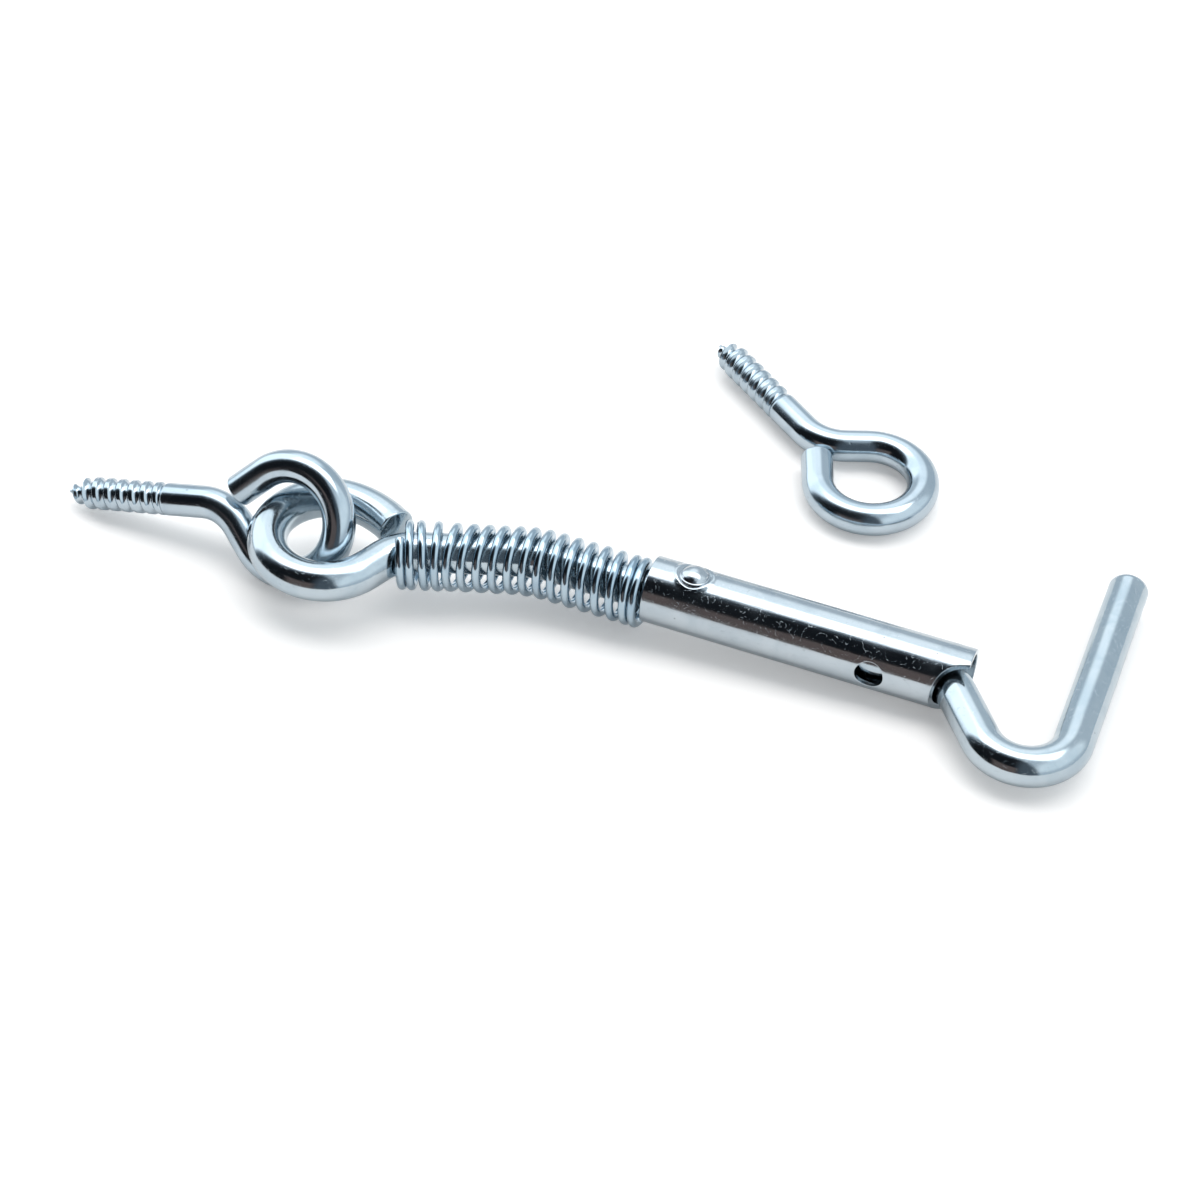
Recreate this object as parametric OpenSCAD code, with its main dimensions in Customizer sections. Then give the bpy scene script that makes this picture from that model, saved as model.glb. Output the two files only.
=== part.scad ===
// Spring-loaded gate hook with two wood-screw eyes, in millimetres.
// The hook lies on a flat surface at z = 0, its sleeve along +X, linked to the eye that goes in the post.
// The second screw eye, which the hook drops into, lies loose behind the sleeve.

/* [Hook rod] */
// Diameter of the bright steel wire that the hook is bent from
rod_d = 7.2; // [6:0.1:7.6]
// Centreline radius of the eye at the rod's end
eye_r = 10.5; // [10.2:0.1:12]
// Angle by which the rod turns away before it runs round its eye
eye_turn = 45; // [42:1:50]
// Centreline radius of the neck of that eye
eye_neck_r = 10; // [8:0.5:10.5]
// How far the centre of the eye lies beside the line of the rod
eye_shift = 2; // [1.6:0.1:2.4]
// Length of the straight free end past the eye
eye_tail = 8.8; // [7:0.2:9]
// Length of the rod from its cranked bend to the centre of the eye
rod_back = 37.5; // [36:0.5:50]
// Straight stretch between the drawn-back sleeve and the crank
crank_lead = 5.6; // [2:0.2:8]
// Angle of the crank behind the sleeve
crank_angle = 18.8; // [12:0.2:20]
// Centreline radius of the crank
crank_r = 22; // [18:1:28]
// Angle by which the rod bends down out of the sleeve
throat_angle = 52; // [48:1:56]
// Centreline radius of that bend
throat_r = 7; // [6.5:0.5:8]
// Length of the leg between the two bends of the hook, corner to tangent point
leg = 14; // [12.5:0.1:17]
// Centreline radius of the hook's round bottom
bow_r = 8.3; // [8:0.1:10]
// Straight length of the prong with its bevelled end
prong = 40.2; // [30:0.2:50]
// Width of the bevel round the prong's end
prong_bevel = 1.1; // [0.6:0.1:1.6]

/* [Locking sleeve] */
// Outside diameter of the sliding tube
sleeve_d = 12; // [11.8:0.1:14]
// Wall of the tube
sleeve_wall = 1; // [0.8:0.1:1.1]
// Length of the tube
sleeve_len = 58; // [50:1:70]
// Radius of the bite that leaves a lip at the hook end
notch_r = 6.8; // [6.5:0.1:7.2]
// How far the centre of that bite lies beyond the sleeve's end
notch_ahead = 1; // [0.6:0.1:1.4]
// How far the lip reaches past the middle of the tube
lip_over = 1.5; // [1:0.1:2]
// Diameter of the hole in the side of the tube
side_hole_d = 5; // [4:0.2:6]
// Distance of that hole from the hook end
side_hole_back = 16.3; // [13:0.1:20]
// Angle of that hole above the level
side_hole_up = 8; // [0:1:30]
// How far the sleeve can be drawn back against the spring
travel = 12; // [8:1:14]

/* [Rivet] */
// Distance of the rivet from the spring end of the sleeve
rivet_in = 7.7; // [7:0.1:12]
// Turn of the rivet round the tube, away from the side of the bite
rivet_turn = 5.5; // [0:0.5:15]
// Diameter of the rivet's round head
rivet_head_d = 5.4; // [4:0.1:5.8]
// Height of the head
rivet_head_h = 1.3; // [1:0.1:1.6]
// Diameter of the rivet's shank
rivet_d = 2.6; // [2:0.1:3]
// Diameter of the dished seat round the head
dish_d = 7.6; // [7:0.1:8.4]
// Depth of the seat
dish_depth = 0.45; // [0.3:0.05:0.5]

/* [Pressure spring] */
// Diameter of the spring wire
spring_wire = 1.6; // [1.2:0.1:1.8]
// Turns of the spring, closed ones included
spring_turns = 17.5; // [15.5:1:19.5]
// Turns that lie closed at each end
closed_turns = 1.5; // [1:0.5:2]
// How far the spring runs over the bend of the neck
spring_past = 0.4; // [0:0.1:0.5]

/* [Screw eyes] */
// Diameter of the wire of both screw eyes
screw_wire = 6; // [5:0.1:6.6]
// Centreline radius of the ring
ring_r = 9.7; // [9.2:0.1:12]
// Angle by which the shank turns away before it runs round the ring
ring_turn = 56; // [52:1:60]
// Centreline radius of that neck
ring_neck_r = 9; // [7.5:0.1:10]
// How far the shank lies beside the centre of the ring
ring_shift = 2; // [1.6:0.1:2.4]
// Length from the screw's point to the centre of the ring
screw_reach = 46; // [40:0.5:60]
// Length of the threaded part, point included
thread_len = 21; // [16:0.5:24]
// Diameter over the thread
thread_d = 7.2; // [6.6:0.1:7.4]
// Depth of the thread
thread_depth = 1.1; // [0.6:0.1:1.2]
// Distance from one thread to the next
thread_pitch = 2.3; // [2:0.05:2.6]

/* [Lie of the pieces] */
// Direction of the post screw eye, seen from above
post_azimuth = 1; // [-4:0.5:6]
// Rise of the post screw eye from its point to its ring
post_rise = 12.5; // [10:0.5:13]
// Turn of the post screw eye about its own shank
post_roll = 235; // [230:1:240]
// Slack of the link between the two rings, along the row
link_slack = 6.1; // [5.6:0.1:7]
// How far the post ring lies behind the hook's ring
link_back = 1.3; // [0.8:0.1:1.8]
// Distance of the loose eye's ring from the spring end of the sleeve, along the row
catch_along = 26.8; // [20:0.2:40]
// Free width between the sleeve and the loose eye
catch_apart = 26.1; // [16:0.1:50]
// Direction of the loose screw eye, seen from above
catch_azimuth = -36.5; // [-50:0.5:-20]

/* [Clearances] */
// Gap between the sleeve and the bent rod, and between the spring and the rod
run_gap = 0.3; // [0.2:0.05:0.35]
// Gap where two wires or a wire and its cut end lie against each other
touch_gap = 0.25; // [0.2:0.05:0.4]
// Gap between the spring and the faces it bears on
seat_gap = 0.1; // [0.05:0.05:0.2]
// Play of the rivet in its hole
rivet_play = 0.1; // [0.05:0.05:0.2]

/* [Hidden] */
$fn = 48;
rod_color = "#b9c6d2";
sleeve_color = "#aebccb";
spring_color = "#93a6b8";
screw_color = "#b3c1ce";

// A bend is thicker than the straight wire by this much all round, and a straight runs into it by the lap
swell = 0.02;
lap = 0.05;
cut_bevel = 0.3;

rod_rad = rod_d / 2;
screw_rad = screw_wire / 2;
bore_r = sleeve_d / 2 - sleeve_wall;

// The rod lies low and to the front in the bore, by these shares of its play
rod_aside = 0.3;
rod_down = 0.35;
rod_play = bore_r - rod_rad - run_gap;
rod_off = rod_aside * rod_play;
rod_drop = rod_down * rod_play;
// The spring is as wide as the middle of the tube's wall
spring_r = sleeve_d / 2 - sleeve_wall / 2;
spring_play = spring_r - spring_wire / 2 - rod_rad - run_gap;

// Half length of a bend's corner, from the corner to its tangent point
function corner(r, a) = r * tan(abs(a) / 2);
// Corner of the neck, along the shank from the centre of a ring
function neck_x(r, shift, turn) = -(r - shift * cos(turn)) / sin(turn);
// Straight stretch of a ring's leg, between the neck and the ring
function leg_len(r, shift, turn, neck_r) =
    norm([-r * sin(turn) - neck_x(r, shift, turn), r * cos(turn) - shift]) - corner(neck_r, turn);
function rx(a, v) = [v.x, v.y * cos(a) - v.z * sin(a), v.y * sin(a) + v.z * cos(a)];
function ry(a, v) = [v.x * cos(a) + v.z * sin(a), v.y, v.z * cos(a) - v.x * sin(a)];
function rz(a, v) = [v.x * cos(a) - v.y * sin(a), v.x * sin(a) + v.y * cos(a), v.z];

// Crank behind the sleeve: it starts past the place where the sleeve's end comes when it is drawn back
crank_start = travel + crank_lead;
crank_corner = corner(crank_r, crank_angle);
crank_x = crank_start + crank_corner;
eye_neck_x = neck_x(eye_r, eye_shift, eye_turn);
eye_neck_start = -eye_neck_x + corner(eye_neck_r, eye_turn);
// The run round the eye, up to the free end that points at the end of the spring
eye_round = 207;
eye_sweep = eye_round + eye_turn;
// Centre of the hook's eye in the plane of the rod
eye_centre = [-crank_x, -rod_off, -rod_drop] + rz(180 + crank_angle, [rod_back, -eye_shift, 0]);

// Bite of the sleeve: depth of its centre beside the axis, and how far back it opens the bore
notch_y = lip_over + sqrt(notch_r * notch_r - notch_ahead * notch_ahead);
notch_back = sqrt(notch_r * notch_r - pow(notch_y - bore_r, 2)) - notch_ahead;
// Corner of the throat: the bend starts where the rod's inner side can leave the bore through the bite,
// and a little later because the rod's lower half lies deeper in the bore than its middle
throat_ease = 0.45;
throat_lead = sqrt(pow(throat_r - rod_rad, 2) - pow(throat_r - bore_r + run_gap + rod_off, 2));
throat_corner = corner(throat_r, throat_angle);
throat_x = sleeve_len - notch_back - throat_lead + throat_corner + throat_ease;
bow_turn = throat_angle + 90;
prong_x = throat_x + leg * cos(throat_angle) + bow_r * (1 + sin(throat_angle));

// Dished seat of the rivet: pressed in from above, it stands out inside the bore
dish_ball = (dish_d * dish_d / 4 + dish_depth * dish_depth) / (2 * dish_depth);
seat_z = sleeve_d / 2 - dish_depth;
tail_z = bore_r - sleeve_wall / 2;
tail_h = 0.4;
tail_over = 0.7;
head_gap = 0.02;
seat_rim = 1;

// Screw eye: tip to the start of the neck
ring_neck_x = neck_x(ring_r, -ring_shift, ring_turn);
screw_shank = screw_reach + ring_neck_x - corner(ring_neck_r, ring_turn);
ring_free = ring_r - screw_rad - touch_gap;
thread_r = thread_d / 2;
root_r = thread_r - thread_depth;
crest_count = floor((thread_len - thread_pitch) / thread_pitch);
// The thread grows from its point to full size over these turns
point_turns = 2.5;
// Place of the first crest, as a share of the pitch
first_crest = 0.9;
// Radii of the point, and of the first root and crest behind it
point_r = 0.3;
point_root = 0.5;
point_crest = 0.75 * root_r;
// Half width of a crest, and of its foot, as shares of the pitch
crest_half = 0.1;
foot_half = 0.4;
function grown(i) = min(1, (i + 0.5) / point_turns);
function crest_at(i) = thread_pitch * (i + first_crest);
function crest_r(i) = point_crest + (thread_r - point_crest) * grown(i);
function root_at(i) = point_root + (root_r - point_root) * grown(i);
last_crest = crest_at(crest_count - 1);

// Height and tilt of the hook: its eye rides on the neck of the post ring, its sleeve's end on the ground
post_nz = cos(post_rise) * cos(post_roll);
post_z = screw_rad + swell + ring_r * sqrt(1 - post_nz * post_nz);
link_reach = eye_r + ring_r - rod_rad - screw_rad - link_slack;
function lie(tilt, p) = ry(tilt, p) + [0, 0, sleeve_len * sin(tilt) + sleeve_d / 2 * cos(tilt)];
function post_centre(tilt) = let (e = lie(tilt, eye_centre)) [e.x - link_reach, e.y + link_back, post_z];
function post_dir(p) = rz(post_azimuth, ry(-post_rise, rx(post_roll, p)));
function hook_ring(tilt) = [for (a = [110:5:290]) lie(tilt, eye_centre + eye_r * [cos(a), sin(a), 0])];
function post_ring(tilt) = [for (a = [40:5:ring_turn + 90]) post_centre(tilt)
    + post_dir(ring_r * [cos(a), sin(a), 0])];
function link_dist(tilt) = let (h = hook_ring(tilt), s = post_ring(tilt))
    min([for (p = h) for (q = s) norm(p - q)]);
function solve_tilt(lo, hi, n) = n == 0 ? (lo + hi) / 2
    : link_dist((lo + hi) / 2) < rod_rad + screw_rad + touch_gap
        ? solve_tilt((lo + hi) / 2, hi, n - 1) : solve_tilt(lo, (lo + hi) / 2, n - 1);
hook_tilt = solve_tilt(0, 8, 16);

// Loose eye: it lies on its ring and on its thread
catch_dip = asin((thread_r - screw_rad - swell) / (screw_reach + ring_r - last_crest));
catch_y = sleeve_d / 2 + catch_apart + ring_r + screw_rad;
catch_centre = [catch_along, catch_y, screw_rad + swell + ring_r * sin(catch_dip)];

// The bottom centre of the box round all pieces is the origin
post_tip = post_centre(hook_tilt) + post_dir([-screw_reach, -ring_shift, 0]);
catch_far = max([for (i = [0:crest_count - 1]) catch_centre.y
    + (crest_at(i) - screw_reach) * sin(catch_azimuth) * cos(catch_dip)
    - ring_shift * cos(catch_azimuth) + crest_r(i) * cos(catch_azimuth)]);
x_min = post_tip.x;
x_max = prong_x * cos(hook_tilt) - rod_drop * sin(hook_tilt) + rod_rad;
y_min = eye_centre.y - eye_r - rod_rad;
middle = [-(x_min + x_max) / 2, -(y_min + catch_far) / 2, 0];

// A straight stretch of round wire along +X, with what follows at its end
module straight(length, d) {
    translate([-lap, 0, 0]) rotate([0, 90, 0]) cylinder(h = length + 2 * lap, d = d);
    translate([length, 0, 0]) children();
}

// A bent stretch of round wire in the XY plane, to the left for a positive angle
module bend(r, angle, d) {
    side = sign(angle);
    translate([0, side * r, 0])
        rotate([0, 0, side > 0 ? -90 : 90 + angle])
            rotate_extrude(angle = abs(angle)) translate([r, 0]) circle(d = d + 2 * swell);
    translate([r * sin(abs(angle)), side * r * (1 - cos(angle)), 0])
        rotate([0, 0, angle]) children();
}

// The last straight stretch of a wire, with a bevel round its cut end
module straight_end(length, d, bevel) {
    rotate([0, 90, 0]) rotate_extrude() polygon([
        [0, -lap], [d / 2, -lap], [d / 2, length - bevel], [d / 2 - bevel, length], [0, length]]);
}

module hook_lie() {
    translate(middle) translate([0, 0, sleeve_len * sin(hook_tilt) + sleeve_d / 2 * cos(hook_tilt)])
        rotate([0, hook_tilt, 0]) children();
}

module hook_rod() {
    color(rod_color) hook_lie() translate([-crank_start, -rod_off, -rod_drop]) {
        straight(crank_start + throat_x - throat_corner, rod_d)
            bend(throat_r, -throat_angle, rod_d)
                straight(leg - throat_corner, rod_d)
                    bend(bow_r, bow_turn, rod_d)
                        straight_end(prong, rod_d, prong_bevel);
        rotate([0, 0, 180])
            bend(crank_r, crank_angle, rod_d)
                straight(rod_back - crank_corner - eye_neck_start, rod_d)
                    bend(eye_neck_r, eye_turn, rod_d)
                        straight(leg_len(eye_r, eye_shift, eye_turn, eye_neck_r), rod_d)
                            bend(eye_r, -eye_sweep, rod_d)
                                straight_end(eye_tail, rod_d, cut_bevel);
    }
}

module at_rivet() {
    rotate([-rivet_turn, 0, 0]) translate([rivet_in, 0, 0]) children();
}

module lock_sleeve() {
    color(sleeve_color) hook_lie() difference() {
        union() {
            difference() {
                rotate([0, 90, 0]) cylinder(h = sleeve_len, d = sleeve_d);
                translate([-1, 0, 0]) rotate([0, 90, 0]) cylinder(h = sleeve_len + 2, r = bore_r);
            }
            at_rivet() translate([0, 0, tail_z]) cylinder(h = sleeve_wall, d = dish_d - seat_rim);
        }
        translate([sleeve_len + notch_ahead, -notch_y, -sleeve_d]) cylinder(h = 2 * sleeve_d, r = notch_r);
        translate([sleeve_len - side_hole_back, 0, 0]) rotate([90 - side_hole_up, 0, 0])
            cylinder(h = sleeve_d, d = side_hole_d);
        at_rivet() translate([0, 0, seat_z + dish_ball]) sphere(r = dish_ball);
        at_rivet() cylinder(h = sleeve_d, d = rivet_d + 2 * rivet_play);
    }
}

module sleeve_rivet() {
    head_ball = (rivet_head_d * rivet_head_d / 4 + rivet_head_h * rivet_head_h) / (2 * rivet_head_h);
    head_z = seat_z + pow(rivet_head_d / 2, 2) / (2 * dish_ball) + head_gap;
    color(rod_color) hook_lie() at_rivet() {
        translate([0, 0, tail_z - tail_h]) cylinder(h = tail_h, d = rivet_d + 2 * tail_over);
        translate([0, 0, tail_z - lap]) cylinder(h = head_z - tail_z + 2 * lap, d = rivet_d);
        translate([0, 0, head_z]) intersection() {
            cylinder(h = rivet_head_h, d = rivet_head_d);
            translate([0, 0, rivet_head_h - head_ball]) sphere(r = head_ball);
        }
    }
}

// The spring hangs on the rod: its play goes to the front and down, at these angles below the level
lean_sleeve = 45;
lean_eye = 15;
// Centreline of the spring's axis, from the sleeve towards the hook's eye
crank_arc = crank_r * crank_angle * PI / 180;
spring_len = crank_start + crank_arc + rod_back - crank_corner + eye_neck_x + spring_past - spring_wire / 2;
spring_start = seat_gap + spring_wire / 2;
function crank_turn(s) = s < crank_start ? 0 : min(crank_angle, (s - crank_start) / crank_r * 180 / PI);
function axis_point(s) = s < crank_start ? [-s, 0, 0]
    : [-crank_start - crank_r * sin(crank_turn(s)), -crank_r * (1 - cos(crank_turn(s))), 0]
        - max(0, s - crank_start - crank_arc) * [cos(crank_angle), sin(crank_angle), 0];
function axis_side(s) = [-sin(crank_turn(s)), cos(crank_turn(s)), 0];
function lean(s) = lean_sleeve + (lean_eye - lean_sleeve) * s / spring_len;
function spring_axis(s) = axis_point(s) - axis_side(s) * (rod_off + spring_play * cos(lean(s)))
    - [0, 0, rod_drop + spring_play * sin(lean(s))];
// Distance along the axis for each turn: closed at both ends, even between
closed_spread = 1.04;
closed_pitch = spring_wire * closed_spread;
open_turns = spring_turns - 2 * closed_turns;
open_pitch = (spring_len - spring_start - 2 * closed_turns * closed_pitch) / open_turns;
function coil_s(t) = spring_start + closed_pitch * min(t, closed_turns)
    + open_pitch * max(0, min(t - closed_turns, open_turns))
    + closed_pitch * max(0, t - closed_turns - open_turns);
function coil_dir(t) = -360 * t - 90;
function coil_out(t) = axis_side(coil_s(t)) * cos(coil_dir(t)) + [0, 0, sin(coil_dir(t))];
function coil_point(t) = spring_axis(coil_s(t)) + spring_r * coil_out(t);
function unit(v) = v / norm(v);

// Stations in each turn of the spring and sides round its wire
turn_steps = 20;
wire_sides = 8;

module swept_wire(turns, steps, sides, r) {
    stations = [for (i = [0:steps]) turns * i / steps];
    points = [for (t = stations)
        let (out = coil_out(t), along = unit(coil_point(t + 0.001) - coil_point(t - 0.001)),
            across = unit(cross(along, out)), outward = cross(across, along))
        for (k = [0:sides - 1])
            coil_point(t) + r * (outward * cos(360 * k / sides) + across * sin(360 * k / sides))];
    walls = [for (i = [0:steps - 1]) for (k = [0:sides - 1])
        let (a = i * sides + k, b = i * sides + (k + 1) % sides) [a, a + sides, b + sides, b]];
    ends = [[for (k = [0:sides - 1]) k], [for (k = [sides - 1:-1:0]) steps * sides + k]];
    polyhedron(points = points, faces = concat(walls, ends), convexity = 10);
}

module pressure_spring() {
    color(spring_color) hook_lie()
        swept_wire(spring_turns, round(spring_turns * turn_steps), wire_sides, spring_wire / 2);
}

// A wood screw whose shank is bent into a closed ring: ring centre at the origin, point towards -X
module screw_eye() {
    profile = concat([[0, 0], [point_r, 0]],
        [for (i = [0:crest_count - 1]) each [
            [root_at(i), crest_at(i) - thread_pitch * foot_half],
            [crest_r(i), crest_at(i) - thread_pitch * crest_half],
            [crest_r(i), crest_at(i) + thread_pitch * crest_half],
            [root_at(i + 1), crest_at(i) + thread_pitch * foot_half]]],
        [[screw_rad, thread_len], [screw_rad, screw_shank + lap], [0, screw_shank + lap]]);
    translate([-screw_reach, -ring_shift, 0]) {
        rotate([0, 90, 0]) rotate_extrude() polygon(profile);
        translate([screw_shank, 0, 0])
            bend(ring_neck_r, ring_turn, screw_wire)
                straight(leg_len(ring_r, -ring_shift, ring_turn, ring_neck_r), screw_wire)
                    bend(ring_r, -270, screw_wire)
                        straight_end(ring_free, screw_wire, cut_bevel);
    }
}

module post_screw_eye() {
    color(screw_color) translate(middle) translate(post_centre(hook_tilt))
        rotate([0, 0, post_azimuth]) rotate([0, -post_rise, 0]) rotate([post_roll, 0, 0]) screw_eye();
}

module catch_screw_eye() {
    color(screw_color) translate(middle) translate(catch_centre)
        rotate([0, 0, catch_azimuth]) rotate([0, catch_dip, 0]) screw_eye();
}

hook_rod();
lock_sleeve();
sleeve_rivet();
pressure_spring();
post_screw_eye();
catch_screw_eye();
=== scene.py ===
# %% [markdown]
# # A spring-loaded gate hook in bright zinc plate
# The object is bent from three pieces of round steel wire: the hook, the screw eye that is linked to it,
# and a second screw eye that lies loose. A tube slides on the hook, and a coil spring pushes it forward.
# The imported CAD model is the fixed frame. It says where each wire runs and which piece moves with which.
# Each visible surface is worked out here again as a smooth skin over that frame, with the marks that
# drawing, rolling, cutting and barrel plating leave on the real thing.

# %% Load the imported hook
import math

import bmesh
import bpy
import numpy as np
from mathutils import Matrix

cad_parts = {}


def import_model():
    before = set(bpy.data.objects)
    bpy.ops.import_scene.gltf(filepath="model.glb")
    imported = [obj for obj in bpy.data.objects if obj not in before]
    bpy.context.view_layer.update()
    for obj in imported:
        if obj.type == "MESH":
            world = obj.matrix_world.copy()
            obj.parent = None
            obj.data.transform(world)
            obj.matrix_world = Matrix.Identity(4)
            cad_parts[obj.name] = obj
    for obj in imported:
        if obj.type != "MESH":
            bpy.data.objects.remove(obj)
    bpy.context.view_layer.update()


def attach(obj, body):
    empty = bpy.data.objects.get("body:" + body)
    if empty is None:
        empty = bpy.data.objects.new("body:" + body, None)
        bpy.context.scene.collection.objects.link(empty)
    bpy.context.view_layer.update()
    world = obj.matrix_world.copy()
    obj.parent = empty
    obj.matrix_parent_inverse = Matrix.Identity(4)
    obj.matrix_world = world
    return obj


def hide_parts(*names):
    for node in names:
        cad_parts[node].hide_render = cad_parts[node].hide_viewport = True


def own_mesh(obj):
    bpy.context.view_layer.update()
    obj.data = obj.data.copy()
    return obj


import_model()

MM = 0.001

# %% [markdown]
# ## Sizes
# A maker keeps the stock sizes in one place: the wire of the hook, the tube, the spring wire and the wire
# of the screw eyes. The same numbers stand in the CAD source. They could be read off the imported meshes,
# but a route of straights and bends is exact and easy to follow, so the routes are written down again.
# The free end of the hook's eye, the pitch of the thread and the spring's turns differ from the source.

# %% Stock sizes in millimetres
ROD_R = 3.6
TUBE_R, BORE_R, TUBE_LENGTH = 6.0, 5.0, 58.0
SPRING_WIRE_R, SPRING_R = 0.8, 5.5
SCREW_R = 3.0
TRAVEL = 12.0
RUN_GAP, TOUCH_GAP = 0.3, 0.25
ASIDE_SHARE, DOWN_SHARE = 0.3, 0.35
rod_play = BORE_R - ROD_R - RUN_GAP
ROD_ASIDE, ROD_DOWN = ASIDE_SHARE * rod_play, DOWN_SHARE * rod_play
print(f"the rod lies {ROD_ASIDE:.2f} mm to the front and {ROD_DOWN:.2f} mm low in the tube")

# %% [markdown]
# ## Where the pieces lie
# Each bent wire is flat: it was bent round pins on a table. So each piece is made in its own flat frame
# and then laid down with one turn and one shift. A matrix of three columns holds the turn.
# The angles and shifts below are the ones that the CAD source works out.
# The finished mesh is written in its final place, and the Blender object itself stays at the origin.

# %% Turn and shift of each piece
def turn(x=0.0, y=0.0, z=0.0):
    """Turn about X, then Y, then Z, in degrees: the product Rz · Ry · Rx of the three plane rotations."""
    (cx, cy, cz), (sx, sy, sz) = np.cos(np.radians([x, y, z])), np.sin(np.radians([x, y, z]))
    about_x = np.array([[1, 0, 0], [0, cx, -sx], [0, sx, cx]])
    about_y = np.array([[cy, 0, sy], [0, 1, 0], [-sy, 0, cy]])
    about_z = np.array([[cz, -sz, 0], [sz, cz, 0], [0, 0, 1]])
    return about_z @ about_y @ about_x


LIES = {
    "hook": (turn(y=2.24152), np.array([14.2131, -23.2413, 8.2639])),
    "post_eye": (turn(235, -12.5, 1), np.array([-50.644, -32.463, 11.0565])),
    "catch_eye": (turn(0, 0.885502, -36.5), np.array([41.0131, 21.5587, 3.16991])),
}


def lay(points, piece):
    """Points in millimetres in a piece's own frame, turned and shifted to its place, in metres."""
    rotation, shift = LIES[piece]
    return (points @ rotation.T + shift) * MM


print("the tube's front end lies at", np.round(lay(np.array([[TUBE_LENGTH, 0.0, 0.0]]), "hook") / MM, 1))

# %% [markdown]
# ## Routes of bent wire
# A wire bender reads a bending list: so much straight, then a bend of such a radius by such an angle.
# `walk` reads the same list and gives the points of the centreline, the direction at each point and the
# length of wire up to it. A curve object with handles could follow the route too, but its bends are only
# nearly round, and here they are exact arcs.

# %% Walk along a bending list
def corner(radius, angle):
    """Distance from a bend's corner to where it starts: r · tan(angle / 2)."""
    return radius * math.tan(math.radians(abs(angle)) / 2)


def walk(route, start=(0.0, 0.0), heading=0.0, step=0.5):
    """Centreline of a flat bending list of ("straight", length) and ("bend", radius, angle) pieces.

    A straight goes from p to p + length · (cos h, sin h). A bend of radius r and angle a runs on the
    circle whose centre lies r to the left (a > 0) or right (a < 0) of p, while h grows by a."""
    here, h = np.array(start, float), math.radians(heading)
    points, headings, lengths = [here[None]], [np.array([h])], [np.zeros(1)]
    for kind, size, *angle in route:
        a = math.radians(angle[0]) if kind == "bend" else 0.0
        length = size * abs(a) if kind == "bend" else size
        t = np.linspace(0, 1, max(2, math.ceil(length / step) + 1))[1:]
        hs = h + a * t
        if kind == "bend":
            side = math.copysign(size, a)
            centre = here + side * np.array([-math.sin(h), math.cos(h)])
            p = centre + side * np.stack([np.sin(hs), -np.cos(hs)], 1)
        else:
            p = here + np.outer(t * size, [math.cos(h), math.sin(h)])
        points.append(p)
        headings.append(hs)
        lengths.append(lengths[-1][-1] + t * length)
        here, h = p[-1], h + a
    return np.concatenate(points), np.concatenate(headings), np.concatenate(lengths)


# %% [markdown]
# ## A skin round a centreline
# Drawn wire is a circle carried along a path. The skin is a grid: one row of points for each place along
# the wire, one column for each direction round it. The radius may change with both, which gives the
# rounded cut ends and later the screw thread. Each end is closed with one point, so the mesh is solid.
# Besides its place, each point keeps its place on the wire before bending. Scratches from the drawing die
# are laid out in those coordinates, so they follow every bend, and there is no seam.

# %% Grid of rings to a closed mesh
def rows_to_mesh(name, rings, unbent, first, last):
    """A closed mesh from a grid: rings (n, m, 3) joined by quads, and a fan to one point at each end."""
    n, m = rings.shape[:2]
    index = np.arange(n * m).reshape(n, m)
    beside = np.roll(index, -1, axis=1)
    walls = np.stack([index[:-1], beside[:-1], beside[1:], index[1:]], -1).reshape(-1, 4)
    caps = [np.stack([beside[0], index[0], np.full(m, n * m)], -1),
            np.stack([index[-1], beside[-1], np.full(m, n * m + 1)], -1)]
    points = np.concatenate([rings.reshape(-1, 3), first[None], last[None]])
    before = np.concatenate([unbent.reshape(-1, 3), unbent[:1].mean(1), unbent[-1:].mean(1)])
    faces = walls.tolist() + caps[0].tolist() + caps[1].tolist()
    return solid(name, points, faces, before)


def solid(name, points, faces, unbent):
    """A smooth-shaded object at the origin; outward faces are tested with the volume, the sum of
    p0 · (p1 × p2) / 6 over all triangles, which is positive when they point out."""
    mesh = bpy.data.meshes.new(name)
    mesh.from_pydata(points.tolist(), [], faces)
    mesh.validate()
    if volume(mesh) < 0:
        mesh.flip_normals()
    mesh.shade_smooth()
    place = mesh.attributes.new("unbent", "FLOAT_VECTOR", "POINT")
    place.data.foreach_set("vector", np.asarray(unbent, np.float32).ravel())
    piece = bpy.data.objects.new(name, mesh)
    bpy.context.scene.collection.objects.link(piece)
    print(f"{name}: {triangles(mesh)} triangles, {volume(mesh) / MM ** 3:.0f} mm3")
    return piece


def corners(mesh):
    """Corner points of all triangles of a mesh as an (n, 3, 3) array."""
    mesh.calc_loop_triangles()
    places = np.empty(len(mesh.vertices) * 3)
    mesh.vertices.foreach_get("co", places)
    ids = np.empty(len(mesh.loop_triangles) * 3, int)
    mesh.loop_triangles.foreach_get("vertices", ids)
    return places.reshape(-1, 3)[ids].reshape(-1, 3, 3)


def volume(mesh):
    """Volume inside a closed mesh, as one sixth of the sum of p0 · (p1 × p2)."""
    p = corners(mesh)
    return float(np.einsum("ij,ij->", p[:, 0], np.cross(p[:, 1], p[:, 2])) / 6)


def triangles(mesh):
    """Number of triangles of a mesh."""
    return len(corners(mesh))


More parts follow.
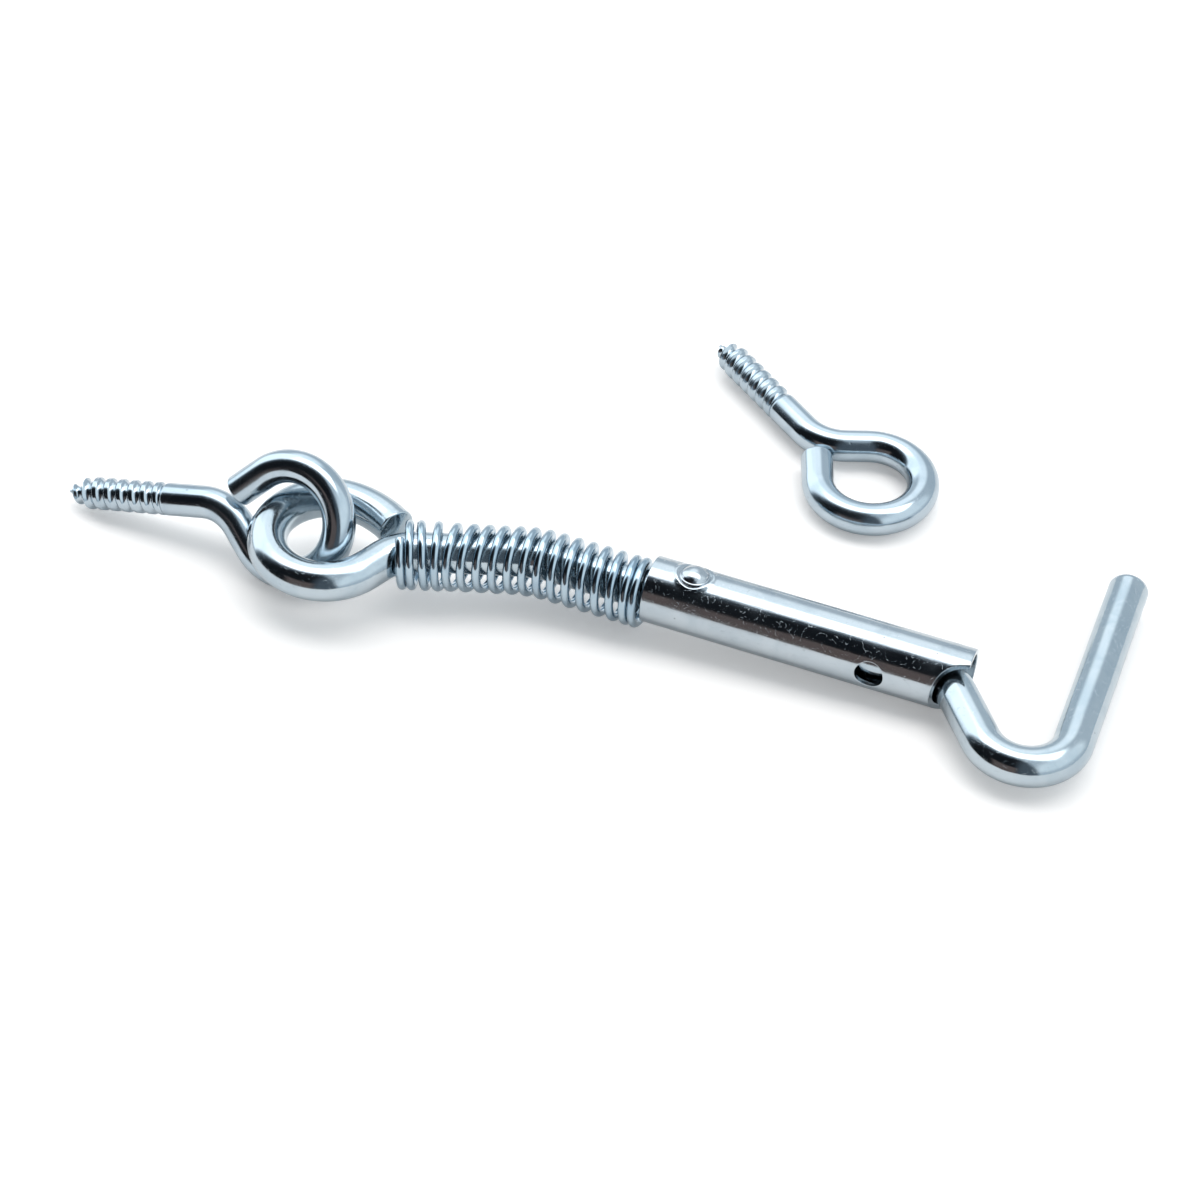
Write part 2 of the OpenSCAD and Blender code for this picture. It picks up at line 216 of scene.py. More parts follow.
# %% Skin of a bent wire
def wire_skin(name, piece, route, radius, places, start, heading=0.0, level=0.0, sides=72):
    """P(s, a) = C(s) + r(s, a) · (cos a · left(s) + sin a · up), with up across the flat of the bends.

    `radius` gives r for arrays of s and a, `places` gives the places s of the rows from those of the
    route, and `level` is the height of the flat."""
    centre, headings, lengths = walk(route, start, heading)
    s = places(lengths)
    x, y, h = (np.interp(s, lengths, v) for v in (centre[:, 0], centre[:, 1], headings))
    a = np.arange(sides) / sides * 2 * np.pi
    r = radius(s[:, None], a[None, :]) * np.ones((len(s), sides))
    left = np.stack([-np.sin(h), np.cos(h), np.zeros_like(h)], -1)
    around = np.cos(a)[None, :, None] * left[:, None] + np.sin(a)[None, :, None] * [0, 0, 1]
    middle = np.stack([x, y, np.full_like(x, level)], -1)
    rings = middle[:, None] + r[..., None] * around
    unbent = np.stack([s[:, None] + 0 * r, r * np.cos(a), r * np.sin(a)], -1)
    return rows_to_mesh(name, lay(rings, piece), unbent, *lay(middle[[0, -1]], piece))


def cut_end(s, length, radius, rounding):
    """Radius of a wire near its cut end: a quarter circle r - R + sqrt(R² - (R - d)²) over the last R,
    where d is the distance left to the end."""
    d = np.clip(length - s, 0, rounding)
    return radius - rounding + np.sqrt(np.maximum(rounding ** 2 - (rounding - d) ** 2, 0))


def with_rounded_ends(lengths, first, last, rows=10):
    """Places along the wire with extra rows in its two rounded ends, set at 1 - cos so the arcs are even."""
    t = 1 - np.cos(np.linspace(0, np.pi / 2, rows))
    total = lengths[-1]
    inside = lengths[(lengths > first) & (lengths < total - last)]
    return np.concatenate([first * t, inside, (total - last * t)[::-1]])


# %% [markdown]
# ## The hook
# On the real hook the wire was cut from a coil, turned into an eye at one end, cranked a little behind the
# tube so that it stops the spring, and bent into a U whose long side is the prong. The list below starts
# at the free end of the eye and ends at the prong. The prong was tumbled, so its end is well rounded, and
# the shears left a small burr on one side. The eye's free end was cut clean. It bends on towards the rod
# in a wider arc and stops just short of the spring.

# %% Bending list of the hook
EYE_R, EYE_TURN, EYE_NECK_R, EYE_SHIFT = 10.5, 45.0, 10.0, 2.0
EYE_SWEEP, TAIL_R, TAIL_TURN = 246.0, 19.0, 32.0
CRANK_LEAD, CRANK_R, CRANK, ROD_BACK = 5.6, 22.0, 18.8, 37.5
THROAT_R, THROAT, LEG, BOW_R, PRONG = 7.0, 52.0, 14.0, 8.3, 40.2
NOTCH_R, NOTCH_AHEAD, LIP_OVER, THROAT_EASE = 6.8, 1.0, 1.5, 0.45
LEAD_IN = 0.01


def neck_place(radius, shift, angle):
    """Where the neck's corner lies before the ring's centre: -(r - shift · cos a) / sin a."""
    a = math.radians(angle)
    return -(radius - shift * math.cos(a)) / math.sin(a)


def neck_leg(radius, shift, angle, neck_r):
    """Straight stretch between the neck and the ring, from the corner to the ring less the bend."""
    a = math.radians(angle)
    end = (-radius * math.sin(a), radius * math.cos(a))
    return math.hypot(end[0] - neck_place(radius, shift, angle), end[1] - shift) - corner(neck_r, angle)


notch_y = LIP_OVER + math.sqrt(NOTCH_R ** 2 - NOTCH_AHEAD ** 2)
notch_back = math.sqrt(NOTCH_R ** 2 - (notch_y - BORE_R) ** 2) - NOTCH_AHEAD
throat_lead = math.sqrt((THROAT_R - ROD_R) ** 2 - (THROAT_R - BORE_R + RUN_GAP + ROD_ASIDE) ** 2)
throat_corner = corner(THROAT_R, THROAT)
throat_x = TUBE_LENGTH - notch_back - throat_lead + throat_corner + THROAT_EASE
crank_start = TRAVEL + CRANK_LEAD
rod_to_eye = (ROD_BACK - corner(CRANK_R, CRANK)
              + neck_place(EYE_R, EYE_SHIFT, EYE_TURN) - corner(EYE_NECK_R, EYE_TURN))
back_route = [("straight", LEAD_IN), ("bend", CRANK_R, CRANK), ("straight", rod_to_eye),
              ("bend", EYE_NECK_R, EYE_TURN),
              ("straight", neck_leg(EYE_R, EYE_SHIFT, EYE_TURN, EYE_NECK_R)),
              ("bend", EYE_R, -EYE_SWEEP), ("bend", TAIL_R, -TAIL_TURN)]
front_route = [("straight", crank_start + throat_x - throat_corner), ("bend", THROAT_R, -THROAT),
               ("straight", LEG - throat_corner), ("bend", BOW_R, THROAT + 90), ("straight", PRONG)]
# The back part runs the other way round: its end is where the whole wire starts, and left becomes right.
back_points, back_headings, _ = walk(back_route, (-crank_start, -ROD_ASIDE), 180)
hook_route = [(kind, size, *(-a for a in angle)) for kind, size, *angle in reversed(back_route)]
hook_route += front_route
hook_start = back_points[-1]
hook_heading = math.degrees(back_headings[-1]) + 180
hook_length = walk(hook_route)[2][-1]
print(f"straight behind the crank {rod_to_eye:.2f} mm, wire {hook_length:.1f} mm")
print(f"the throat's corner lies at {throat_x:.2f} mm")


# %% Skin of the hook
PRONG_ROUND, CUT_ROUND, WAVY_FROM = 1.7, 0.35, 1.0
# Height, length along the wire and turns round it of the two waves
WAVES = (0.012, 5.3, 2), (0.01, 2.9, -1)
BURR_HIGH, BURR_BACK, BURR_LONG, BURR_ANGLE, BURR_WIDE = 0.26, 2.3, 0.9, -2.75, 0.16


def burr(s, a):
    """Height of the burr: h · exp(-u²) · exp(-v²), with u along the wire and v round it, both from the
    burr's middle and in units of its size."""
    u = (s - hook_length + BURR_BACK) / BURR_LONG
    v = np.angle(np.exp(1j * (a - BURR_ANGLE))) / BURR_WIDE
    return BURR_HIGH * np.exp(-u ** 2) * np.exp(-v ** 2)


def hook_radius(s, a):
    """The wire's radius with both rounded ends and the burr, and a faint waviness from hand bending. Each
    wave only takes away, as h · (sin(s / l + n · a) - 1), together up to 0.04 mm."""
    r = np.minimum(cut_end(s, hook_length, ROD_R, PRONG_ROUND),
                   cut_end(hook_length - s, hook_length, ROD_R, CUT_ROUND))
    hand = sum(high * (np.sin(s / long + turns * a) - 1) for high, long, turns in WAVES)
    return r + np.where((s > WAVY_FROM) & (s < hook_length - PRONG_ROUND), hand, 0) + burr(s, a)


def hook_rows(lengths):
    """Rows as the route gives them, and more in the two rounded ends."""
    return with_rounded_ends(lengths, CUT_ROUND, PRONG_ROUND)


hook = wire_skin("bent_hook", "hook", hook_route, hook_radius, hook_rows, hook_start, hook_heading, -ROD_DOWN)
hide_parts("hook_rod")
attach(hook, "hook")

# %% [markdown]
# ## The locking tube
# The tube is drawn steel with a wall of 1 mm. A punch bit a round notch out of its front end and left a
# lip, a second punch made the round hole in its side, and the rivet pressed a dish with a rim into its top.
# A Boolean could cut all that from a plain tube, but it leaves razor edges that catch no light.
# So the wall is worked out as one closed sheet: outside, front rim, inside and back rim form a loop of
# rows, with the rows drawn back where the notch is, and a round patch knits the hole into both walls.

# %% Columns round the tube
def notch_columns(radius, lip=40, bite=44):
    """Angles round the tube and the front end there. The notch is the circle (x - L - e)² + (y + c)² = n²,
    so the end lies at L + e - sqrt(n² - (y + c)²) where y = r · cos a is inside it, and at L elsewhere.
    Columns crowd at the lip's corners as t² · (2 - t)."""
    edge = math.acos(-LIP_OVER / radius)
    t = np.arange(bite + 1) / bite
    bitten = edge + (math.pi - edge) * t ** 2 * (2 - t)
    a = np.concatenate([np.linspace(-edge, edge, 2 * lip, endpoint=False), bitten,
                        2 * math.pi - bitten[-2:0:-1]])
    y = radius * np.cos(a)
    inside = np.clip(NOTCH_R ** 2 - (y + notch_y) ** 2, NOTCH_AHEAD ** 2, None)
    return a, TUBE_LENGTH + NOTCH_AHEAD - np.where(y < -LIP_OVER, np.sqrt(inside), NOTCH_AHEAD)


outer_a, outer_end = notch_columns(TUBE_R)
inner_a, inner_end = notch_columns(BORE_R)
print(f"{len(outer_a)} columns, notch reaches back to {outer_end.min():.1f} mm")

# %% Rows along the tube
EDGE = 0.16
HOLE_BACK, HOLE_A, HOLE_R = 16.3, math.radians(172), 2.5
HOLE_X = TUBE_LENGTH - HOLE_BACK
DENSE_TO, PLAIN_TO = 14, 48
DENSE_ROWS, PLAIN_ROWS, FRONT_ROWS, CROWDING = 48, 60, 14, 0.8
plain_rows = np.concatenate([np.linspace(EDGE, DENSE_TO, DENSE_ROWS, endpoint=False),
                             np.linspace(DENSE_TO, PLAIN_TO, PLAIN_ROWS)])
front_rows = np.linspace(0, 1, FRONT_ROWS)[1:] ** CROWDING


def wall_rows(a, end, radius):
    """Rows (x, a, r) of one wall from the back to the front: straight rows first, then rows that
    close up on the front end."""
    x = np.concatenate([np.repeat(plain_rows[:, None], len(a), 1),
                        plain_rows[-1] + front_rows[:, None] * (end - EDGE - plain_rows[-1])])
    return np.stack([x, a + 0 * x, radius + 0 * x], -1)


def rounded(from_row, sharp, to_row, steps=4):
    """Rows of a small rounding between two rows: (1-q)² · A + 2q(1-q) · corner + q² · B."""
    q = np.linspace(0, 1, steps + 2)[1:-1, None, None]
    return (1 - q) ** 2 * from_row + 2 * q * (1 - q) * sharp + q ** 2 * to_row


def rim(a1, end1, r1, a2, end2, r2):
    """Rows over a cut edge, from the wall at radius r1 to the wall at radius r2."""
    sharp1 = np.stack([end1, a1, r1 + 0 * a1], -1)
    sharp2 = np.stack([end2, a2, r2 + 0 * a2], -1)
    side = np.sign(end1.mean() - TUBE_LENGTH / 2)
    wall1, wall2 = sharp1 - [side * EDGE, 0, 0], sharp2 - [side * EDGE, 0, 0]
    share = EDGE / abs(r1 - r2)
    face1, face2 = sharp1 + share * (sharp2 - sharp1), sharp2 + share * (sharp1 - sharp2)
    return np.concatenate([rounded(wall1, sharp1, face1), face1[None], face2[None],
                           rounded(face2, sharp2, wall2)])


outer_rows = wall_rows(outer_a, outer_end, TUBE_R)
inner_rows = wall_rows(inner_a, inner_end, BORE_R)[::-1]
front_rim = rim(outer_a, outer_end, TUBE_R, inner_a, inner_end, BORE_R)
back_rim = rim(inner_a, 0 * inner_a, BORE_R, outer_a, 0 * outer_a, TUBE_R)
tube_rows = np.concatenate([outer_rows, front_rim, inner_rows, back_rim])
print(f"{len(tube_rows)} rows in the closed loop of the wall")


# %% Place of a tube point, with the rivet's seat pressed in
SEAT_X, SEAT_Z, SEAT_R, SEAT_FADE = 7.7, 5.55, 3.8, 0.6
RIM_R, RIM_HIGH, RIM_WIDE = 3.25, 0.24, 0.34
SEAT_LEAN = math.radians(5.5)
DISH_BALL = (SEAT_R ** 2 + (TUBE_R - SEAT_Z) ** 2) / (2 * (TUBE_R - SEAT_Z))


def smooth(t):
    """Smooth step from 0 to 1: 3t² - 2t³ between t = 0 and t = 1."""
    t = np.clip(t, 0, 1)
    return t * t * (3 - 2 * t)


def tube_place(rows):
    """(x, a, r) to (x, r · cos a, r · sin a), then along the rivet's line by the seat's shape: down to the
    dish z = c - sqrt(B² - d²) within the seat, and up by a round rim where the dish meets the tube."""
    x, a, r = rows[..., 0], rows[..., 1], rows[..., 2]
    across, up = TUBE_R * np.cos(a + SEAT_LEAN), TUBE_R * np.sin(a + SEAT_LEAN)
    away = np.hypot(x - SEAT_X, across)
    dish = SEAT_Z + DISH_BALL - np.sqrt(DISH_BALL ** 2 - np.minimum(away, SEAT_R) ** 2)
    lift = smooth((SEAT_R - away) / SEAT_FADE) * np.minimum(dish - up, 0)
    lift = (lift + RIM_HIGH * np.exp(-((away - RIM_R) / RIM_WIDE) ** 2)) * (up > 0)
    y = r * np.cos(a) + lift * math.sin(SEAT_LEAN)
    z = r * np.sin(a) + lift * math.cos(SEAT_LEAN)
    return np.stack([x, y, z], -1)


# %% Faces of the wall, without the two openings round the side hole
count, columns = tube_rows.shape[:2]
index = np.arange(count * columns).reshape(count, columns)
below, beside = np.roll(index, -1, axis=0), np.roll(index, -1, axis=1)
quads = np.stack([index, beside, np.roll(beside, -1, axis=0), below], -1)
keep = np.ones((count, columns), bool)
OPEN_HALF_ANGLE, OPEN_HALF_LENGTH = math.radians(42), 4.4


def open_wall(rows, offset):
    """Take the quads round the side hole out of a wall, and give the loop of points round that opening."""
    across = np.flatnonzero(np.abs(outer_a - HOLE_A) < OPEN_HALF_ANGLE)
    along = np.flatnonzero(np.abs(rows[:, 0, 0] - HOLE_X) < OPEN_HALF_LENGTH)
    c0, c1, r0, r1 = across[0], across[-1], along[0], along[-1]
    keep[offset + r0:offset + r1, c0:c1] = False
    ids = index[offset + r0:offset + r1 + 1, c0:c1 + 1]
    return np.concatenate([ids[0, :-1], ids[:-1, -1], ids[-1, :0:-1], ids[:0:-1, 0]])


outer_loop = open_wall(outer_rows, 0)
inner_loop = open_wall(inner_rows, len(outer_rows) + len(front_rim))[::-1]
print(f"the hole is knitted in with {len(outer_loop)} and {len(inner_loop)} points")


# %% Round patch between an opening and the side hole
def hole_circle(angle, radius, wall_r):
    """Points of a circle round the hole's axis, on the tube of radius R: x = X + q · cos w,
    a = A + asin(q · sin w / R)."""
    b = np.arcsin(radius * np.sin(angle) / wall_r)
    return np.stack([HOLE_X + radius * np.cos(angle), HOLE_A + b, wall_r + 0 * b], -1)


def flat_view(rows):
    """Points of a wall seen along the hole's axis: (x - X, R · sin(a - A))."""
    return np.stack([rows[..., 0] - HOLE_X, rows[..., 2] * np.sin(rows[..., 1] - HOLE_A)], -1)


def loop_view(loop):
    """A loop of wall points seen along the hole's axis."""
    return flat_view(tube_rows.reshape(-1, 3)[loop])


def patch(loop, angle, wall_r, rings=9):
    """Rings from an opening's edge to just outside the hole, straight in the view along the axis."""
    circle = (HOLE_R + EDGE) * np.stack([np.cos(angle), np.sin(angle)], -1)
    w = (np.arange(1, rings + 1) / rings)[:, None, None] ** CROWDING
    seen = loop_view(loop) * (1 - w) + circle * w
    x, b = seen[..., 0], np.arcsin(seen[..., 1] / wall_r)
    return np.stack([HOLE_X + x, HOLE_A + b, wall_r + 0 * x], -1)


def loop_angle(loop):
    """Angle of each point of a loop round the hole's axis: atan2 of that view."""
    seen = loop_view(loop)
    return np.arctan2(seen[:, 1], seen[:, 0])


hole_angle = loop_angle(outer_loop)
from_first = np.angle(np.exp(1j * (loop_angle(inner_loop) - hole_angle[0])))
inner_loop = np.roll(inner_loop, -int(np.argmin(np.abs(from_first))))
steps = [(HOLE_R + EDGE * (1 - q) ** 2, TUBE_R - EDGE * q ** 2) for q in (0.25, 0.5, 0.75, 1)]
steps += [(HOLE_R + EDGE * q ** 2, BORE_R + EDGE * (1 - q) ** 2) for q in (0, 0.25, 0.5, 0.75)]
hole_rows = np.concatenate([
    patch(outer_loop, hole_angle, TUBE_R),
    np.stack([hole_circle(hole_angle, *step) for step in steps]),
    patch(inner_loop, hole_angle, BORE_R)[::-1]])
print(f"{len(hole_rows)} rings through the side hole")

# %% Skin of the tube
hole_index = count * columns + np.arange(hole_rows.shape[0] * hole_rows.shape[1]).reshape(hole_rows.shape[:2])
chain = np.concatenate([outer_loop[None], hole_index, inner_loop[None]])
chain_next = np.roll(chain, -1, axis=1)
knit = np.stack([chain[:-1], chain_next[:-1], chain_next[1:], chain[1:]], -1).reshape(-1, 4)
all_rows = np.concatenate([tube_rows.reshape(-1, 3), hole_rows.reshape(-1, 3)])
used = np.concatenate([quads[keep], knit])
names, compact = np.unique(used, return_inverse=True)
sleeve_points = tube_place(all_rows[names])
sleeve = solid("locking_tube", lay(sleeve_points, "hook"), compact.reshape(-1, 4).tolist(), sleeve_points)
work = bmesh.new()
work.from_mesh(sleeve.data)
bmesh.ops.recalc_face_normals(work, faces=work.faces)
open_edges = sum(not e.is_manifold for e in work.edges)
work.to_mesh(sleeve.data)
work.free()
print(f"open edges {open_edges}, volume {volume(sleeve.data) / MM ** 3:.0f} mm3 against 1924 mm3 in the CAD")
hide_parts("lock_sleeve")
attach(sleeve, "sleeve")

# %% [markdown]
# ## The rivet
# The rivet is a short steel pin whose outer end was struck into a low dome and whose inner end was spread
# against the wall. A dome is a profile turned round its axis. The profile is drawn as a few arcs, with the
# rim rounded, because a rim without rounding shows no bright line.

# %% Skin of the rivet
def dome_profile(radius, low, high, rounding=0.22, steps=20, rim_steps=5):
    """Radius and height from the rim to the crown: the ball through rim and crown, z = c + sqrt(B² - r²),
    above a small quarter circle at the rim."""
    rise = high - low - rounding
    ball = (radius ** 2 + rise ** 2) / (2 * rise)
    q = np.linspace(0, np.pi / 2, rim_steps)[:-1]
    rim_r, rim_z = radius - rounding * (1 - np.cos(q)), low + rounding * np.sin(q)
    r = (radius - rounding) * np.cos(np.linspace(0, np.pi / 2, steps))[:-1]
    z = high - ball + np.sqrt(ball ** 2 - r ** 2)
    return np.concatenate([rim_r, r]), np.concatenate([rim_z, z])


HEAD_R, HEAD_LOW, HEAD_TOP = 2.4, 5.86, 7.09
dome_r, dome_z = dome_profile(HEAD_R, HEAD_LOW, HEAD_TOP)
tail_r = np.array([1.9, 2.0, 2.0, 1.3, 1.3, 2.6, 2.7, 2.68, 2.5])
tail_z = np.array([4.1, 4.17, 4.5, 4.5, 5.6, 5.66, 5.72, 5.8, 5.84])
rivet_r, rivet_z = np.concatenate([tail_r, dome_r]), np.concatenate([tail_z, dome_z])
RIVET_SIDES = 64
a = np.arange(RIVET_SIDES) / RIVET_SIDES * 2 * np.pi
rivet_rings = np.stack([np.outer(rivet_r, np.cos(a)), np.outer(rivet_r, np.sin(a)),
                        np.repeat(rivet_z[:, None], RIVET_SIDES, 1)], -1)
poles = np.array([[0, 0, rivet_z[0]], [0, 0, HEAD_TOP]])


def over_seat(points):
    """Points round the rivet's own line, leaned with the seat and set over it."""
    return points @ turn(x=-math.degrees(SEAT_LEAN)).T + [SEAT_X, 0, 0]


rivet = rows_to_mesh("round_rivet", lay(over_seat(rivet_rings), "hook"), rivet_rings,
                     *lay(over_seat(poles), "hook"))
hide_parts("sleeve_rivet")
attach(rivet, "sleeve")

# %% [markdown]
# ## The pressure spring
# The spring is coiled from hard wire on a mandrel. Its end turns lie closed, so that it pushes evenly, and
# between them the turns are open. It follows the cranked rod, so its axis is a short straight, an arc and
# a longer straight. The coil is a circle carried round that axis, and the wire is a circle carried along
# the coil. Most turns stand parallel to the tube's end, and the last ones turn with the cranked rod.
# A Screw modifier makes only a straight spring, so both steps are formulas here.

# %% Axis of the spring
SPRING_PAST, LEAN_AT_TUBE, LEAN_AT_EYE, HANG_SHARE = 0.4, 45, 15, 0.9
crank_length = CRANK_R * math.radians(CRANK)
spring_length = (crank_start + crank_length + ROD_BACK - corner(CRANK_R, CRANK)
                 + neck_place(EYE_R, EYE_SHIFT, EYE_TURN) + SPRING_PAST - SPRING_WIRE_R)
spring_play = HANG_SHARE * (SPRING_R - SPRING_WIRE_R - ROD_R - RUN_GAP)


def spring_axis(s):
    """Centre and side direction of the spring at the distance s from the tube: straight, then on the
    crank's arc, then straight again. It hangs on the rod, so it lies off the rod's own line by its play,
    to the front and down: - side · (aside + play · cos e) - up · (low + play · sin e), where e goes
    evenly from 45° at the tube to 15° at the eye."""
    turned = np.radians(np.clip(np.degrees((s - crank_start) / CRANK_R), 0, CRANK))
    beyond = np.maximum(s - crank_start - crank_length, 0)
    x = -np.minimum(s, crank_start) - CRANK_R * np.sin(turned) - beyond * math.cos(math.radians(CRANK))
    y = -CRANK_R * (1 - np.cos(turned)) - beyond * math.sin(math.radians(CRANK))
    lean = np.radians(LEAN_AT_TUBE + (LEAN_AT_EYE - LEAN_AT_TUBE) * s / spring_length)
    side = np.stack([-np.sin(turned), np.cos(turned), 0 * s], -1)
    centre = np.stack([x, y, -ROD_DOWN - spring_play * np.sin(lean)], -1)
    return centre - side * (ROD_ASIDE + spring_play * np.cos(lean))[:, None], side


# %% Skin of the spring
TURNS, CLOSED = 17.46, 1.5
# Distances from the spring's far end at which its turns begin to lean with the rod, and lean fully
PLANE_FROM, PLANE_TO = 11.5, 3.0
CLOSED_LOOSE, MOUTH_GAP = 1.04, 0.1
TURN_ROWS, SPRING_SIDES, HAIR = 56, 18, 1e-4
END_TURNS, END_ROUND, END_ROWS = 0.004, 0.13, 5
closed_pitch = 2 * SPRING_WIRE_R * CLOSED_LOOSE
spring_first = MOUTH_GAP + SPRING_WIRE_R
open_pitch = (spring_length - spring_first - 2 * CLOSED * closed_pitch) / (TURNS - 2 * CLOSED)


def coil(t):
    """Point of the coil after t turns: axis(s) + R · (cos w · side + sin w · up), with w = -360° t - 90°
    and s growing by the closed pitch in the end turns and by the open pitch between them. The turns lie
    parallel to the tube's end, and only the last ones turn with the wire that they rest on."""
    middle_turns = np.clip(t - CLOSED, 0, TURNS - 2 * CLOSED)
    s = spring_first + closed_pitch * (t - middle_turns) + open_pitch * middle_turns
    centre, across_rod = spring_axis(s)
    leaned = np.arctan2(-across_rod[:, 0], across_rod[:, 1])
    leaned = leaned * smooth((s - spring_length + PLANE_FROM) / (PLANE_FROM - PLANE_TO))
    side = np.stack([-np.sin(leaned), np.cos(leaned), 0 * s], -1)
    w = -2 * np.pi * t - np.pi / 2
    out = side * np.cos(w)[:, None] + np.sin(w)[:, None] * np.array([0, 0, 1.0])
    return centre + SPRING_R * out, out


rows = with_rounded_ends(np.linspace(0, TURNS, int(TURNS * TURN_ROWS)), END_TURNS, END_TURNS, END_ROWS)
path, out = coil(rows)
along = coil(rows + HAIR)[0] - coil(rows - HAIR)[0]
along /= np.linalg.norm(along, axis=1, keepdims=True)
across = np.cross(along, out)
across /= np.linalg.norm(across, axis=1, keepdims=True)
outward = np.cross(across, along)
from_end = np.clip(np.minimum(rows, TURNS - rows) / END_TURNS, 0, 1)
wire_r = SPRING_WIRE_R - END_ROUND * (1 - np.sqrt(np.clip(1 - (1 - from_end) ** 2, 0, 1)))
a = np.arange(SPRING_SIDES) / SPRING_SIDES * 2 * np.pi
rings = path[:, None] + wire_r[:, None, None] * (np.cos(a)[None, :, None] * outward[:, None]
                                                + np.sin(a)[None, :, None] * across[:, None])
spring_unbent = np.stack(np.broadcast_arrays(
    rows[:, None] * 2 * np.pi * SPRING_R, SPRING_WIRE_R * np.cos(a), SPRING_WIRE_R * np.sin(a)), -1)
spring = rows_to_mesh("coil_spring", lay(rings, "hook"), spring_unbent, *lay(path[[0, -1]], "hook"))
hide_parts("pressure_spring")
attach(spring, "hook")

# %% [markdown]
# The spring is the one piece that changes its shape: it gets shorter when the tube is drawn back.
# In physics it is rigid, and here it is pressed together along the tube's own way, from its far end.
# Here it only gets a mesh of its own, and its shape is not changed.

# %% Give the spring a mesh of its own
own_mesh(spring)

# %% [markdown]
# ## The screw eyes
# Both eyes are the same part: a wire with a rolled wood thread, bent into a closed ring. Rolling pushes the
# metal up between the dies, so the thread is a thin blunt crest with hollow flanks on a thinner root. It
# starts at a gimlet point and runs out where the full shank begins. The thread is written into the radius
# of the wire as a function of the place along it and round it, so shank, thread and ring stay one skin.

# %% Radius of the threaded wire
RING_R, RING_TURN, RING_NECK_R, RING_SHIFT, SCREW_REACH = 9.7, 56.0, 9.0, 2.0, 46.0
RING_SWEEP = 270.0
THREAD_LENGTH, THREAD_R, THREAD_DEPTH, PITCH = 21.0, 3.6, 1.1, 2.56
CREST_ROUND, RIDGE_HALF, RIDGE_POWER, FIRST_CREST = 0.04, 0.44, 2.2, 0.9
POINT_LENGTH, POINT_R, POINT_CREST_R, POINT_ROUND = 6.0, 0.3, 1.5, 0.02
CONE_SHARE, BULGE_SHARE = 0.6, 0.4
RIDGE_FROM, RIDGE_STOPS, RUN_OUT, SHANK_RISE = 0.3, 0.2, 1.4, 1.2
THREAD_STEP, PAST_THREAD = 0.07, 1


def screw_radius(s, a):
    """Root + ridge. The ridge is highest where s / pitch - a / 360° - 0.9 is whole, and falls in a hollow
    curve, as (1 - off / 0.44) ** 2.2, to the root; both grow from the point and run out at the shank."""
    grown = np.clip(s / POINT_LENGTH, 0, 1)
    shape = CONE_SHARE * grown + BULGE_SHARE * smooth(grown)
    root = POINT_R + (THREAD_R - THREAD_DEPTH - POINT_R) * shape
    crest = POINT_CREST_R + (THREAD_R - POINT_CREST_R) * grown
    root = root + (SCREW_R - root) * smooth((s - THREAD_LENGTH + SHANK_RISE) / SHANK_RISE)
    phase = s / PITCH - a / (2 * np.pi) - FIRST_CREST
    off = np.abs(phase - np.round(phase))
    blunt = np.sqrt(off ** 2 + CREST_ROUND ** 2) - CREST_ROUND
    ridge = np.clip(1 - blunt / RIDGE_HALF, 0, 1) ** RIDGE_POWER
    height = (crest - root) * smooth((s - RIDGE_FROM) / RUN_OUT)
    height = height * smooth((THREAD_LENGTH - RIDGE_STOPS - s) / RUN_OUT)
    return root + ridge * np.maximum(height, 0)


# %% Skin of a screw eye
ring_neck = neck_place(RING_R, -RING_SHIFT, RING_TURN)
ring_free = RING_R - SCREW_R - TOUCH_GAP
eye_route = [("straight", SCREW_REACH + ring_neck - corner(RING_NECK_R, RING_TURN)),
             ("bend", RING_NECK_R, RING_TURN),
             ("straight", neck_leg(RING_R, -RING_SHIFT, RING_TURN, RING_NECK_R)),
             ("bend", RING_R, -RING_SWEEP), ("straight", ring_free)]
eye_length = walk(eye_route)[2][-1]


def eye_radius(s, a):
    """The threaded wire, with the ring's cut end rounded."""
    return np.minimum(screw_radius(s, a), cut_end(s, eye_length, SCREW_R, CUT_ROUND))


def eye_rows(lengths):
    """Rows every 0.07 mm in the thread, then as the route gives them."""
    thread = np.arange(0.0, THREAD_LENGTH + PAST_THREAD, THREAD_STEP)
    plain = lengths[lengths > THREAD_LENGTH + PAST_THREAD]
    return with_rounded_ends(np.concatenate([thread, plain]), POINT_ROUND, CUT_ROUND)


for body, name, node in (("post_eye", "post_eye_wire", "post_screw_eye"),
                         ("catch_eye", "loose_eye_wire", "catch_screw_eye")):
    eye = wire_skin(name, body, eye_route, eye_radius, eye_rows, (-SCREW_REACH, -RING_SHIFT))
    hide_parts(node)
    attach(eye, body)

# %% [markdown]
# ## Bright zinc plate
# Electroplated zinc is a mirror with a cold blue cast. On a wire it keeps the fine lines of the drawing
# die, and barrel plating leaves small nicks, dull clouds and hairline scratches. The colour is nearly the
# same all over, so most of the look comes from the roughness and the bump. They read the place on the
# unbent wire, so the lines run along it. A painted image would need a picture of the real thing.

# %% Small helpers for node trees
def new_material(name):
    """An empty node material with its Principled shader."""
    made = bpy.data.materials.new(name)
    made.use_nodes = True
    tree = made.node_tree
    return made, tree, tree.nodes["Principled BSDF"]


def add_node(tree, kind, inputs=(), **settings):
    """A node with its settings and inputs; an input may be a number, a colour or another node's output."""
    made = tree.nodes.new(kind)
    for key, value in settings.items():
        setattr(made, key, value)
    for key, value in dict(inputs).items():
        if isinstance(value, bpy.types.NodeSocket):
            tree.links.new(value, made.inputs[key])
        else:
            made.inputs[key].default_value = value
    return made


def maths(tree, operation, *values):
    """One Math node on numbers or outputs."""
    return add_node(tree, "ShaderNodeMath", dict(enumerate(values)), operation=operation).outputs[0]


